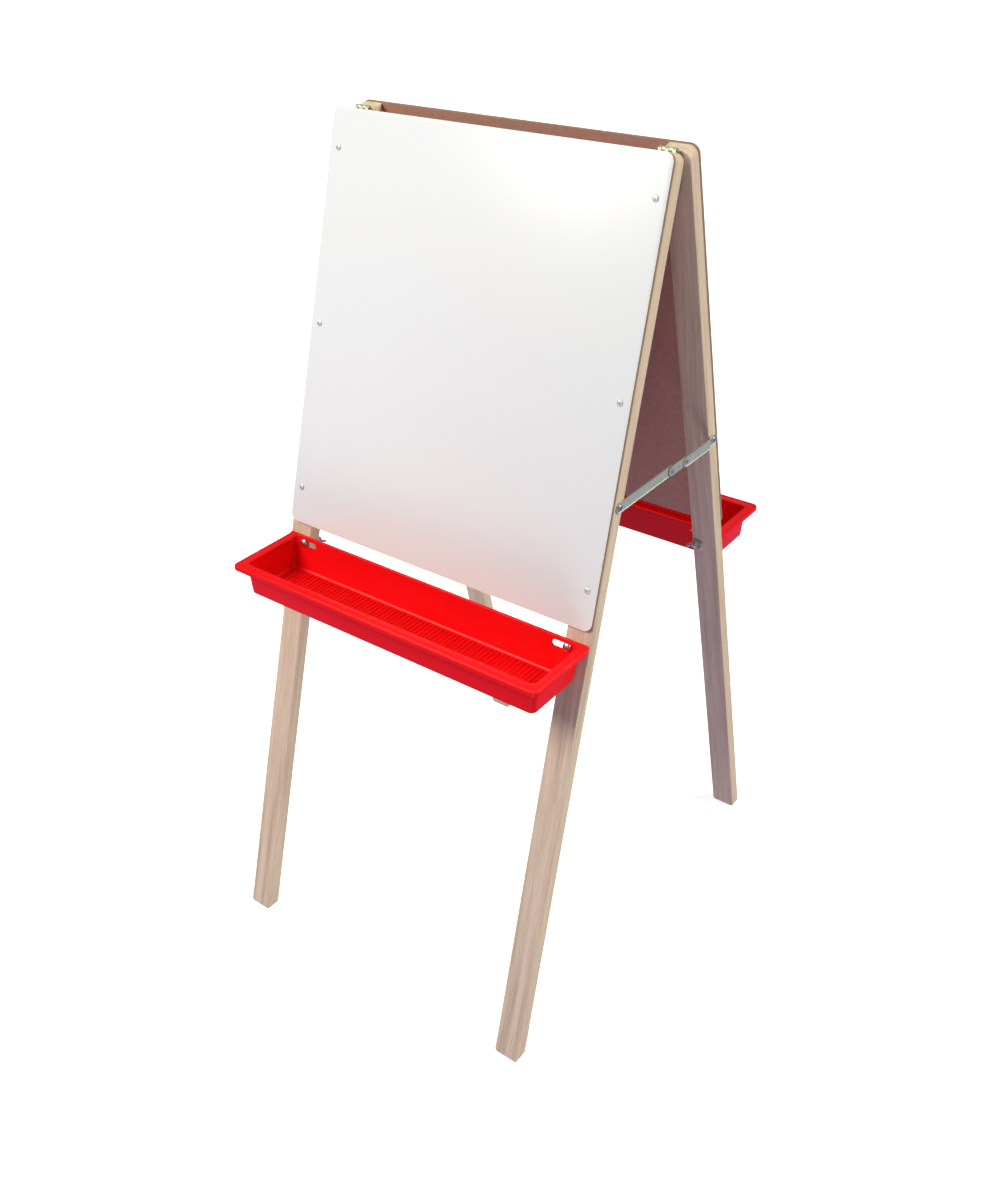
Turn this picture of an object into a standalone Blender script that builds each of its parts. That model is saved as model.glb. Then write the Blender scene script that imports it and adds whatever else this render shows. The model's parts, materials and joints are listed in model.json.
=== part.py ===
"""Double-sided folding easel: two leaning wooden frames hinged at the top.

Each frame carries a writing board and a bolted tray. Metres, +Z up. X runs along the width, the front
board faces -Y, and the floor is z = 0. Each frame is modelled in its own leaning space: the hinge pin is its
origin, +Z runs up the legs, and -Y points out through its board. The rear frame is the front frame's design
turned half a turn about the vertical.
"""

import math

import bmesh
import bpy
from mathutils import Matrix, Vector

# Whole easel
LEAN = math.radians(14.67)
PIN_HEIGHT = 1.2135
FRAME_WIDTH = 0.531
GAP = 0.0003
SIDES = (-1, 1)

# Legs: nominal 1 x 2 lumber
LEG_WIDTH = 0.0381
LEG_THICKNESS = 0.0205
LEG_SETBACK = 0.0045
LEG_TOP = -0.0026
CORNER_RADIUS = 0.012
CORNER_STEPS = 4
EDGE_ROUND = 0.0012
LEG_X = (FRAME_WIDTH - LEG_WIDTH) / 2
LEG_Y = -LEG_SETBACK - LEG_THICKNESS / 2
LEG_FACE = -LEG_SETBACK - LEG_THICKNESS

# Writing boards
BOARD_WIDTH = 0.5305
BOARD_HEIGHT = 0.5985
BOARD_THICKNESS = 0.0048
BOARD_BACK = LEG_FACE - GAP
BOARD_FACE = BOARD_BACK - BOARD_THICKNESS
SCREW_INSET = 0.054
SCREW_X = 0.250
SCREW_LEVELS = {
    "top": LEG_TOP - SCREW_INSET,
    "middle": LEG_TOP - BOARD_HEIGHT / 2,
    "bottom": LEG_TOP - BOARD_HEIGHT + SCREW_INSET,
}

# Wood screws: head radius, head height, shank radius, length under the head
BOARD_SCREW = (0.0044, 0.0018, 0.0017, 0.0190)
HINGE_SCREW = (0.0034, 0.0012, 0.0015, 0.0125)
BRACE_SCREW = (0.0048, 0.0024, 0.0023, 0.0180)
HOLE_CLEARANCE = 0.0004
BRACE_HOLE_RADIUS = BRACE_SCREW[2] + HOLE_CLEARANCE
HOLE_START = 0.0020
BOARD_HOLE_END = LEG_FACE + 0.0165
HINGE_HOLE_END = -LEG_SETBACK - 0.0140
BRACE_HOLE_DEPTH = 0.0190

# Top hinges
LEAF_WIDTH = 0.0242
LEAF_LENGTH = 0.0500
LEAF_X = 0.2396
LEAF_THICKNESS = 0.0018
LEAF_BACK = -LEG_SETBACK + GAP
LEAF_TOP = -0.0040
KNUCKLE_RADIUS = 0.0036
KNUCKLE_BORE = 0.0021
KNUCKLES = 5
TAB_DROP = 0.0010
PIN_RADIUS = 0.0018
PIN_HEAD_HEIGHT = 0.0008
PIN_HEAD_RADIUS = 0.0028
HINGE_SCREW_LEVELS = {"upper": -0.0160, "lower": -0.0420}
HINGE_SCREW_OFFSET = 0.0055

# Trays, in an upright space whose origin is on the bolt line, at the back of the tray
BOLT_LEVEL = -0.6310
BOLT_X = 0.2347
TRAY_WALL = 0.0028
TRAY_BOTTOM = -0.0420
TRAY_RIM = 0.0078
TRAY_BACK_RISE = 0.0030
LIP_DROP = 0.0065
LIP_THICKNESS = 0.0020
RIM_HALF_WIDTH = 0.2658
RIM_FRONT = -0.1198
BODY_HALF_WIDTH = 0.2540
BODY_FRONT = -0.1060
BODY_DRAFT = 0.0030
BODY_RECESS = 0.0010
RIM_CORNER = 0.0090
BODY_CORNER = 0.0095
REAR_CORNER = 0.0040
INNER_REAR_CORNER = 0.0060
FLOOR_FILLET = 0.0045
SLOT_LENGTH = 0.0320
SLOT_HEIGHT = 0.0090
SLOT_CENTRE_X = 0.2265
SLOT_CUT = (-0.0080, 0.0040)
RIM_ROUND = 0.0012
SMALLEST_CORNER = 0.0010
FILLET_TURNS = (0, 30, 60, 90)

# Tray fasteners: carriage bolt, washer and wing nut
BOLT_RADIUS = 0.0030
BOLT_HEAD_RADIUS = 0.0064
BOLT_HEAD_HEIGHT = 0.0034
BOLT_TIP = 0.0012
WASHER_RADIUS = 0.0075
WASHER_THICKNESS = 0.0012
NUT_HEIGHT = 0.0080
NUT_BASE_RADIUS = 0.0058
NUT_TOP_RADIUS = 0.0046
NUT_CHAMFER = 0.0005
WING_SPAN = 0.0125
WING_HEIGHT = 0.0115
WING_THICKNESS = 0.0022
WING_TIP = 0.0030
WING_ROOT = ((0.0042, 0.0012), (0.0070, 0.0020))
WING_CROTCH = (0.0042, 0.0070)

# Folding braces, on the outer sides of the legs
PIVOT_LEVEL = -0.4340
BAR_WIDTH = 0.0150
BAR_WEB = 0.0012
BAR_RIM = 0.0007
BAR_RIM_WIDTH = 0.0013
BAR_LAYER = BAR_WEB + BAR_RIM + GAP
KNEE_OFFSET = 0.0050
PLATE_LENGTH = 0.0365
PLATE_WIDTH = 0.0142
PLATE_THICKNESS = 0.0013
PLATE_HOLE_AT = 0.0200
PLATE_HOLE_RADIUS = 0.0014
JOG_START = 0.0085
JOG_END = 0.0175
BAR_CUT_END = 0.0120
RIVET_RADIUS = 0.0021
RIVET_HEAD_RADIUS = 0.0036
RIVET_HEAD_HEIGHT = 0.0013

ROUND_STEPS = 16
HOLE_STEPS = 12
SCREW_STEPS = 12
END_STEPS = 8
TIP_STEPS = 5
SHARP_EDGE = math.radians(40)
SMOOTH_LIMIT = math.radians(35)


def upright_y(y, z):
    """World y, for the front frame, of a point in its leaning space."""
    return y * math.cos(LEAN) + z * math.sin(LEAN)


def foot_level(y):
    """Leaning z at which the leaning line at y meets the floor."""
    return (y * math.sin(LEAN) - PIN_HEIGHT) / math.cos(LEAN)


def clear_scene():
    for item in list(bpy.data.objects):
        bpy.data.objects.remove(item, do_unlink=True)


def new_material(name, colour, roughness, metallic=0.0):
    material = bpy.data.materials.new(name)
    material.use_nodes = True
    shader = material.node_tree.nodes["Principled BSDF"]
    shader.inputs["Base Color"].default_value = (*colour, 1.0)
    shader.inputs["Roughness"].default_value = roughness
    shader.inputs["Metallic"].default_value = metallic
    material.diffuse_color = (*colour, 1.0)
    return material


def new_object(name, bm, parent=None, location=(0, 0, 0), rotation=(0, 0, 0), material=None, smooth=False):
    bmesh.ops.recalc_face_normals(bm, faces=bm.faces[:])
    mesh = bpy.data.meshes.new(name)
    bm.to_mesh(mesh)
    bm.free()
    if smooth:
        mesh.shade_smooth()
        mesh.set_sharp_from_angle(angle=SMOOTH_LIMIT)
    if material:
        mesh.materials.append(material)
    item = bpy.data.objects.new(name, mesh)
    bpy.context.scene.collection.objects.link(item)
    item.parent = parent
    item.location = location
    item.rotation_euler = rotation
    return item


def new_empty(name, location, rotation):
    empty = bpy.data.objects.new(name, None)
    bpy.context.scene.collection.objects.link(empty)
    empty.location = location
    empty.rotation_euler = rotation
    return empty


def boolean(target, tool, operation):
    """Cuts or joins with another object, which is kept as a hidden guide."""
    tool.hide_render = True
    tool.display_type = "WIRE"
    modifier = target.modifiers.new(tool.name, "BOOLEAN")
    modifier.operation = operation
    modifier.solver = "EXACT"
    modifier.object = tool


def add_ring(bm, points):
    return [bm.verts.new(point) for point in points]


def bridge(bm, ring, other):
    count = len(ring)
    for i in range(count):
        j = (i + 1) % count
        bm.faces.new((ring[i], ring[j], other[j], other[i]))


def loft(bm, rings):
    """Closed solid through a list of rings with the same number of points."""
    loops = [add_ring(bm, ring) for ring in rings]
    for ring, other in zip(loops, loops[1:]):
        bridge(bm, ring, other)
    bm.faces.new(loops[0])
    bm.faces.new(loops[-1])


def add_box(bm, low, high):
    size = Vector(high) - Vector(low)
    centre = (Vector(high) + Vector(low)) / 2
    matrix = Matrix.Translation(centre) @ Matrix.Diagonal((*size, 1.0))
    bmesh.ops.create_cube(bm, size=1.0, matrix=matrix)


def circle(radius, height, steps):
    turns = [2 * math.pi * i / steps for i in range(steps)]
    return [(radius * math.cos(a), radius * math.sin(a), height) for a in turns]


def turned(profile, steps=ROUND_STEPS):
    """Solid turned about local Z from (radius, height) pairs."""
    bm = bmesh.new()
    loft(bm, [circle(radius, height, steps) for radius, height in profile])
    return bm


def add_rod(bm, start, end, radius, steps=HOLE_STEPS):
    start = Vector(start)
    axis = Vector(end) - start
    turn = Vector((0, 0, 1)).rotation_difference(axis).to_matrix()
    rings = []
    for height in (0.0, axis.length):
        rings.append([start + turn @ Vector(point) for point in circle(radius, height, steps)])
    loft(bm, rings)


def arc(centre, radius, start, end, steps):
    """Points of an arc in a plane, angles in degrees, both ends included."""
    points = []
    for i in range(steps + 1):
        angle = math.radians(start + (end - start) * i / steps)
        points.append((centre[0] + radius * math.cos(angle), centre[1] + radius * math.sin(angle)))
    return points


def rounded_box_outline(left, right, low, high, low_radius, high_radius, steps=CORNER_STEPS):
    """Outline of a rectangle whose two low and two high corners have their own radius."""
    outline = arc((left + low_radius, low + low_radius), low_radius, 180, 270, steps)
    outline += arc((right - low_radius, low + low_radius), low_radius, 270, 360, steps)
    outline += arc((right - high_radius, high - high_radius), high_radius, 0, 90, steps)
    outline += arc((left + high_radius, high - high_radius), high_radius, 90, 180, steps)
    return outline


def bevel_sharp_edges(bm, width):
    sharp = [edge for edge in bm.edges if edge.calc_face_angle() > SHARP_EDGE]
    bmesh.ops.bevel(bm, geom=sharp, offset=width, segments=1, affect="EDGES")


def hole_cutter(name, holes, parent, steps=HOLE_STEPS):
    """One guide object with a rod for each (start, end, radius)."""
    bm = bmesh.new()
    for start, end, radius in holes:
        add_rod(bm, start, end, radius, steps)
    return new_object(name, bm, parent)


class Frame:
    """One leaning frame's space: its empty, and which world side its local +X is on."""

    def __init__(self, name, turn):
        self.name = name
        self.turn = turn
        spin = 0.0 if turn > 0 else math.pi
        self.empty = new_empty(f"{name}_frame_space", (0, 0, PIN_HEIGHT), (-LEAN, 0, spin))

    def side(self, local_side):
        return "right" if local_side * self.turn > 0 else "left"


def leg_bm(side):
    """A leg round its own centre line: outer top corner rounded, foot cut level with the floor."""
    half = LEG_WIDTH / 2
    crown = arc((half - CORNER_RADIUS, LEG_TOP - CORNER_RADIUS), CORNER_RADIUS, 0, 90, CORNER_STEPS)
    rings = []
    for y in (-LEG_THICKNESS / 2, LEG_THICKNESS / 2):
        foot = foot_level(LEG_Y + y)
        outline = [(-half, foot), (half, foot)] + crown + [(-half, LEG_TOP)]
        rings.append([(side * x, y, z) for x, z in outline])
    bm = bmesh.new()
    loft(bm, rings)
    bmesh.ops.recalc_face_normals(bm, faces=bm.faces[:])
    bevel_sharp_edges(bm, EDGE_ROUND)
    return bm


def leg_holes(side):
    """Holes of one leg in the frame's space: board screws, tray bolt, hinge screws and brace pivot."""
    outer = LEG_FACE - HOLE_START
    inner = -LEG_SETBACK + HOLE_START
    radius = BOARD_SCREW[2] + HOLE_CLEARANCE
    x = side * SCREW_X
    holes = [((x, outer, level), (x, BOARD_HOLE_END, level), radius) for level in SCREW_LEVELS.values()]
    x = side * BOLT_X
    holes.append(((x, outer, BOLT_LEVEL), (x, inner, BOLT_LEVEL), BOLT_RADIUS + HOLE_CLEARANCE))
    radius = HINGE_SCREW[2] + HOLE_CLEARANCE
    for level, x in hinge_screw_places(side).values():
        holes.append(((x, inner, level), (x, HINGE_HOLE_END, level), radius))
    start = side * (FRAME_WIDTH / 2 + HOLE_START)
    end = side * (FRAME_WIDTH / 2 - BRACE_HOLE_DEPTH)
    holes.append(((start, LEG_Y, PIVOT_LEVEL), (end, LEG_Y, PIVOT_LEVEL), BRACE_HOLE_RADIUS))
    return holes


def hinge_screw_places(side):
    """Level and x of a leaf's two screws, one each side of its centre line."""
    return {
        "upper": (HINGE_SCREW_LEVELS["upper"], side * (LEAF_X - HINGE_SCREW_OFFSET)),
        "lower": (HINGE_SCREW_LEVELS["lower"], side * (LEAF_X + HINGE_SCREW_OFFSET)),
    }


def make_legs(frame, wood):
    for side in SIDES:
        name = f"{frame.name}_{frame.side(side)}_leg"
        leg = new_object(name, leg_bm(side), frame.empty, (side * LEG_X, LEG_Y, 0), material=wood)
        boolean(leg, hole_cutter(f"{name}_holes", leg_holes(side), frame.empty), "DIFFERENCE")


def make_board(frame, panel):
    half = BOARD_WIDTH / 2
    outline = rounded_box_outline(-half, half, LEG_TOP - BOARD_HEIGHT, LEG_TOP, CORNER_RADIUS, CORNER_RADIUS)
    bm = bmesh.new()
    loft(bm, [[(x, y, z) for x, z in outline] for y in (-BOARD_THICKNESS, 0.0)])
    board = new_object(f"{frame.name}_board", bm, frame.empty, (0, BOARD_BACK, 0), material=panel)
    radius = BOARD_SCREW[2] + HOLE_CLEARANCE
    holes = []
    for side in SIDES:
        for level in SCREW_LEVELS.values():
            x = side * SCREW_X
            holes.append(((x, BOARD_FACE - HOLE_START, level), (x, BOARD_BACK + HOLE_START, level), radius))
    boolean(board, hole_cutter(f"{frame.name}_board_holes", holes, frame.empty), "DIFFERENCE")


def screw_bm(size):
    """Domed wood screw whose head sits on z = 0, its pointed shank running down."""
    head, height, shank, length = size
    point = shank * 0.35
    profile = [
        (point, -length),
        (shank, -length + 2.5 * shank),
        (shank, 0.0),
        (head, 0.0),
        (head, height * 0.35),
        (head * 0.6, height),
    ]
    return turned(profile, SCREW_STEPS)


def make_board_screws(frame, steel):
    for side in SIDES:
        for place, level in SCREW_LEVELS.items():
            name = f"{frame.name}_{frame.side(side)}_board_screw_{place}"
            location = (side * SCREW_X, BOARD_FACE - GAP, level)
            new_object(name, screw_bm(BOARD_SCREW), frame.empty, location, (math.pi / 2, 0, 0), steel, True)


def leaf_bm():
    """Hinge leaf about the pin: a plate down the leg's inner face, and its share of the knuckles."""
    bm = bmesh.new()
    half = LEAF_WIDTH / 2
    add_box(bm, (-half, LEAF_BACK, LEAF_TOP - LEAF_LENGTH), (half, LEAF_BACK + LEAF_THICKNESS, LEAF_TOP))
    return bm


def knuckle_span(index):
    """Start and end along X of one of the hinge's knuckles."""
    pitch = (LEAF_WIDTH + GAP) / KNUCKLES
    start = -LEAF_WIDTH / 2 + index * pitch
    return start, start + pitch - GAP


def knuckle_outline():
    """Section of a knuckle and the tab that joins it to its leaf, in y and z about the pin."""
    back = LEAF_BACK
    front = LEAF_BACK + LEAF_THICKNESS
    touch = math.sqrt(KNUCKLE_RADIUS**2 - front**2)
    start = math.degrees(math.atan2(-touch, front))
    shoulder = arc((0, 0), KNUCKLE_RADIUS, start, 150, 10)
    return [(front, LEAF_TOP - TAB_DROP), *shoulder, (back, TAB_DROP), (back, LEAF_TOP - TAB_DROP)]


def make_leaf(frame, side, steel):
    """The leaf of one frame at one leg, with its bores and screw holes cut."""
    hinge = frame.side(side)
    name = f"{hinge}_hinge_{frame.name}_leaf"
    place = (side * LEAF_X, 0, 0)
    leaf = new_object(name, leaf_bm(), frame.empty, place, material=steel, smooth=True)
    first = 0 if frame.turn > 0 else 1
    for index in range(first, KNUCKLES, 2):
        start, end = knuckle_span(index)
        bm = bmesh.new()
        loft(bm, [[(x, y, z) for y, z in knuckle_outline()] for x in (start, end)])
        boolean(leaf, new_object(f"{name}_knuckle_{index}", bm, frame.empty, place), "UNION")
    low_x = side * LEAF_X - LEAF_WIDTH
    high_x = side * LEAF_X + LEAF_WIDTH
    holes = [((low_x, 0, 0), (high_x, 0, 0), KNUCKLE_BORE)]
    for level, x in hinge_screw_places(side).values():
        radius = HINGE_SCREW[2] + HOLE_CLEARANCE
        end = LEAF_BACK + LEAF_THICKNESS + HOLE_START
        holes.append(((x, LEAF_BACK - HOLE_START, level), (x, end, level), radius))
    boolean(leaf, hole_cutter(f"{name}_holes", holes, frame.empty, ROUND_STEPS), "DIFFERENCE")


def make_hinge_screws(frame, side, steel):
    hinge = frame.side(side)
    for place, (level, x) in hinge_screw_places(side).items():
        name = f"{hinge}_hinge_{frame.name}_screw_{place}"
        location = (x, LEAF_BACK + LEAF_THICKNESS + GAP, level)
        new_object(name, screw_bm(HINGE_SCREW), frame.empty, location, (-math.pi / 2, 0, 0), steel, True)


def make_hinge_pin(frame, side, steel):
    half = LEAF_WIDTH / 2 + GAP
    profile = [
        (PIN_RADIUS * 0.8, -half - PIN_HEAD_HEIGHT),
        (PIN_RADIUS, -half),
        (PIN_RADIUS, half),
        (PIN_HEAD_RADIUS, half),
        (PIN_HEAD_RADIUS * 0.8, half + PIN_HEAD_HEIGHT),
    ]
    name = f"{frame.side(side)}_hinge_pin"
    rotation = (0, side * math.pi / 2, 0)
    new_object(name, turned(profile), frame.empty, (side * LEAF_X, 0, 0), rotation, steel, True)


def back_plane(z):
    """Depth of the leaning back of a tray at height z of its upright space."""
    return z * math.tan(LEAN)


def tray_ring(half_width, front, recess, level, front_corner, rear_corner, rise=0.0):
    """Ring of a tray; the rise lifts the ring where it runs along the back wall."""
    rear = back_plane(level) - recess
    outline = rounded_box_outline(-half_width, half_width, front, rear, front_corner, rear_corner)
    ring = []
    for x, y in outline:
        share = min(1.0, max(0.0, (y - rear + rear_corner) / rear_corner))
        lift = rise * share
        ring.append((x, y + lift * math.tan(LEAN), level + lift))
    return ring


def shrunk(radius, inset):
    return max(radius - inset, SMALLEST_CORNER)


def tray_outside(rings):
    """Adds the rings from the middle of the underside out and up to the crest of the rim."""
    under = TRAY_RIM - TRAY_WALL
    lip = TRAY_RIM - LIP_DROP
    lip_half = RIM_HALF_WIDTH - LIP_THICKNESS
    lip_front = RIM_FRONT + LIP_THICKNESS
    lip_corner = RIM_CORNER - LIP_THICKNESS
    lip_recess = BODY_RECESS / 2
    for turn in FILLET_TURNS:
        inset = FLOOR_FILLET * (1 - math.sin(math.radians(turn)))
        level = TRAY_BOTTOM + FLOOR_FILLET * (1 - math.cos(math.radians(turn)))
        half = BODY_HALF_WIDTH - BODY_DRAFT - inset
        front = BODY_FRONT + BODY_DRAFT + inset
        corners = shrunk(BODY_CORNER, inset), shrunk(REAR_CORNER, inset)
        rings.append(tray_ring(half, front, BODY_RECESS + inset, level, *corners))
    rings.append(tray_ring(BODY_HALF_WIDTH, BODY_FRONT, BODY_RECESS, under, BODY_CORNER, REAR_CORNER))
    for level in (under, lip):
        rings.append(tray_ring(lip_half, lip_front, lip_recess, level, lip_corner, REAR_CORNER))
    rings.append(tray_ring(RIM_HALF_WIDTH, RIM_FRONT, 0.0, lip, RIM_CORNER, REAR_CORNER))
    for soft in (0.0, RIM_ROUND):
        level = TRAY_RIM - RIM_ROUND + soft
        half = RIM_HALF_WIDTH - soft
        front = RIM_FRONT + soft
        corners = RIM_CORNER - soft, REAR_CORNER - soft
        rings.append(tray_ring(half, front, soft / 2, level, *corners, TRAY_BACK_RISE))


def tray_inside(rings):
    """Adds the rings from the rim down the inner walls to the middle of the floor."""
    inner_half = BODY_HALF_WIDTH - TRAY_WALL
    inner_front = BODY_FRONT + TRAY_WALL
    recess = BODY_RECESS + TRAY_WALL
    corner = BODY_CORNER - TRAY_WALL
    floor = TRAY_BOTTOM + TRAY_WALL
    slope = BODY_DRAFT / (TRAY_RIM - TRAY_WALL - TRAY_BOTTOM)
    for soft in (RIM_ROUND, 0.0):
        level = TRAY_RIM - RIM_ROUND + soft
        half = inner_half + soft
        front = inner_front - soft
        corners = corner + soft, INNER_REAR_CORNER + soft
        rings.append(tray_ring(half, front, recess - soft / 2, level, *corners, TRAY_BACK_RISE))
    for turn in reversed(FILLET_TURNS):
        inset = FLOOR_FILLET * (1 - math.sin(math.radians(turn)))
        level = floor + FLOOR_FILLET * (1 - math.cos(math.radians(turn)))
        taper = slope * (TRAY_RIM - level) + inset
        corners = shrunk(corner, inset), shrunk(INNER_REAR_CORNER, inset)
        rings.append(tray_ring(inner_half - taper, inner_front + taper, recess + inset, level, *corners))


def tray_bm():
    """Moulded tray: drafted body, flanged rim with a turned-down lip, filleted floor."""
    rings = []
    tray_outside(rings)
    tray_inside(rings)
    bm = bmesh.new()
    loft(bm, rings)
    return bm


def slot_bm():
    """Stadium prism through the tray's back wall, its length along X and its axis along Y."""
    radius = SLOT_HEIGHT / 2
    reach = SLOT_LENGTH / 2 - radius
    outline = arc((reach, 0), radius, -90, 90, END_STEPS) + arc((-reach, 0), radius, 90, 270, END_STEPS)
    bm = bmesh.new()
    loft(bm, [[(x, y, z) for x, z in outline] for y in SLOT_CUT])
    return bm


def make_tray(frame, plastic):
    name = f"{frame.name}_tray"
    location = (0, LEG_FACE - GAP, BOLT_LEVEL)
    tray = new_object(name, tray_bm(), frame.empty, location, (LEAN, 0, 0), plastic, True)
    for side in SIDES:
        place = (side * SLOT_CENTRE_X, LEG_FACE - GAP, BOLT_LEVEL)
        slot = new_object(f"{name}_slot_{frame.side(side)}", slot_bm(), frame.empty, place)
        boolean(tray, slot, "DIFFERENCE")


def bolt_bm():
    """Carriage bolt along local Z: the dome's flat side is at z = 0 and the shank runs down."""
    grip = BODY_RECESS + TRAY_WALL + LEG_THICKNESS + WASHER_THICKNESS + NUT_HEIGHT + 5 * GAP
    end = -grip - BOLT_TIP
    profile = [
        (BOLT_RADIUS * 0.75, end),
        (BOLT_RADIUS, end + BOLT_RADIUS * 0.3),
        (BOLT_RADIUS, 0.0),
        (BOLT_HEAD_RADIUS, 0.0),
        (BOLT_HEAD_RADIUS * 0.9, BOLT_HEAD_HEIGHT * 0.5),
        (BOLT_HEAD_RADIUS * 0.5, BOLT_HEAD_HEIGHT),
    ]
    return turned(profile)


def washer_bm():
    """Flat washer on z = 0, its hole bridged so that it stays one closed ring."""
    bore = BOLT_RADIUS + HOLE_CLEARANCE
    bm = bmesh.new()
    sizes = ((WASHER_RADIUS, 0.0), (WASHER_RADIUS, WASHER_THICKNESS), (bore, WASHER_THICKNESS), (bore, 0.0))
    loops = [add_ring(bm, circle(radius, height, ROUND_STEPS)) for radius, height in sizes]
    for ring, other in zip(loops, loops[1:] + loops[:1]):
        bridge(bm, ring, other)
    return bm


def nut_hub_bm():
    profile = [
        (NUT_BASE_RADIUS, 0.0),
        (NUT_BASE_RADIUS, NUT_HEIGHT * 0.3),
        (NUT_TOP_RADIUS, NUT_HEIGHT * 0.85),
        (NUT_TOP_RADIUS - NUT_CHAMFER, NUT_HEIGHT),
    ]
    return turned(profile)


def nut_wing_bm(side):
    """One ear: rises from the hub's foot and flares out to a rounded tip."""
    top = arc((WING_SPAN - WING_TIP, WING_HEIGHT - WING_TIP), WING_TIP, -40, 140, TIP_STEPS)
    outline = [*WING_ROOT, *top, WING_CROTCH]
    bm = bmesh.new()
    half = WING_THICKNESS / 2
    loft(bm, [[(side * x, y, z) for x, z in outline] for y in (-half, half)])
    return bm


def make_wing_nut(name, parent, location, rotation, steel):
    nut = new_object(name, nut_hub_bm(), parent, location, rotation, steel, True)
    for side in SIDES:
        wing = new_object(f"{name}_wing_{side}", nut_wing_bm(side), parent, location, rotation)
        boolean(nut, wing, "UNION")
    radius = BOLT_RADIUS + HOLE_CLEARANCE
    bore = turned([(radius, -HOLE_START), (radius, WING_HEIGHT)])
    boolean(nut, new_object(f"{name}_bore", bore, parent, location, rotation), "DIFFERENCE")


def make_tray_fasteners(frame, steel):
    """Carriage bolt from the tray through the leg, with its washer and wing nut on the leg's inner face."""
    outward = (math.pi / 2, 0, 0)
    inward = (-math.pi / 2, 0, 0)
    for side in SIDES:
        label = f"{frame.name}_{frame.side(side)}"
        x = side * BOLT_X
        bolt_seat = LEG_FACE - GAP - BODY_RECESS - TRAY_WALL - GAP
        washer_seat = -LEG_SETBACK + GAP
        nut_seat = washer_seat + WASHER_THICKNESS + GAP
        bolt_place = (x, bolt_seat, BOLT_LEVEL)
        washer_place = (x, washer_seat, BOLT_LEVEL)
        new_object(f"{label}_tray_bolt", bolt_bm(), frame.empty, bolt_place, outward, steel, True)
        new_object(f"{label}_tray_washer", washer_bm(), frame.empty, washer_place, inward, steel, True)
        make_wing_nut(f"{label}_wing_nut", frame.empty, (x, nut_seat, BOLT_LEVEL), inward, steel)


def pivot_reach():
    """Distance of a brace pivot from the easel's middle plane."""
    return -upright_y(LEG_Y, PIVOT_LEVEL)


def bar_bm(side, length, width, thickness, rim):
    """Flat bar along +Y between its end holes, with round ends and a raised rim on its outer face."""
    radius = width / 2
    outline = arc((0, 0), radius, 90, 270, END_STEPS) + arc((length, 0), radius, -90, 90, END_STEPS)
    bm = bmesh.new()
    loft(bm, [[(side * x, y, z) for y, z in outline] for x in (0.0, thickness + rim)])
    bmesh.ops.recalc_face_normals(bm, faces=bm.faces[:])
    if rim:
        outer = max(bm.faces, key=lambda face: side * face.calc_center_median().x)
        bmesh.ops.inset_individual(bm, faces=[outer], thickness=BAR_RIM_WIDTH)
        for vert in outer.verts:
            vert.co.x -= side * rim
    return bm


def jog(bm, side, offset):
    """Steps a bar outwards by the offset between two places along it."""
    for place in (JOG_START, JOG_END):
        geometry = bm.verts[:] + bm.edges[:] + bm.faces[:]
        bmesh.ops.bisect_plane(bm, geom=geometry, plane_co=(0, place, 0), plane_no=(0, 1, 0), dist=1e-7)
    for vert in bm.verts:
        share = min(1.0, max(0.0, (vert.co.y - JOG_START) / (JOG_END - JOG_START)))
        vert.co.x += side * offset * share


def cut_bar_holes(bar, side, holes):
    """Round holes across a bar, from the distance along it and the radius of each."""
    start = -side * HOLE_START
    end = side * BAR_CUT_END
    rods = [((start, y, 0), (end, y, 0), radius) for y, radius in holes]
    boolean(bar, hole_cutter(f"{bar.name}_holes", rods, bar), "DIFFERENCE")


def rivet_bm(depth):
    """Rivet with its head on z = 0 and its plain shank running down."""
    profile = [
        (RIVET_RADIUS, -depth),
        (RIVET_RADIUS, 0.0),
        (RIVET_HEAD_RADIUS, 0.0),
        (RIVET_HEAD_RADIUS * 0.85, RIVET_HEAD_HEIGHT * 0.65),
        (RIVET_HEAD_RADIUS * 0.4, RIVET_HEAD_HEIGHT),
    ]
    return turned(profile)


def brace_pivot_place(side):
    return (side * (FRAME_WIDTH / 2 + GAP), LEG_Y, PIVOT_LEVEL)


def make_brace_screw(frame, side, name, steel):
    x, y, z = brace_pivot_place(side)
    head_place = (x + side * (BAR_WEB + GAP), y, z)
    rotation = (0, side * math.pi / 2, 0)
    new_object(name, screw_bm(BRACE_SCREW), frame.empty, head_place, rotation, steel, True)


def make_front_arm(frame, side, steel):
    """Front arm of a brace, level at rest, from its pivot on the leg to the knee."""
    name = f"{frame.side(side)}_brace_front_arm"
    length = pivot_reach() + KNEE_OFFSET
    bar = bar_bm(side, length, BAR_WIDTH, BAR_WEB, BAR_RIM)
    arm = new_object(name, bar, frame.empty, brace_pivot_place(side), (LEAN, 0, 0), steel, True)
    cut_bar_holes(arm, side, ((0.0, BRACE_HOLE_RADIUS), (length, BRACE_HOLE_RADIUS)))
    make_brace_screw(frame, side, f"{frame.side(side)}_brace_front_screw", steel)


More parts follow.
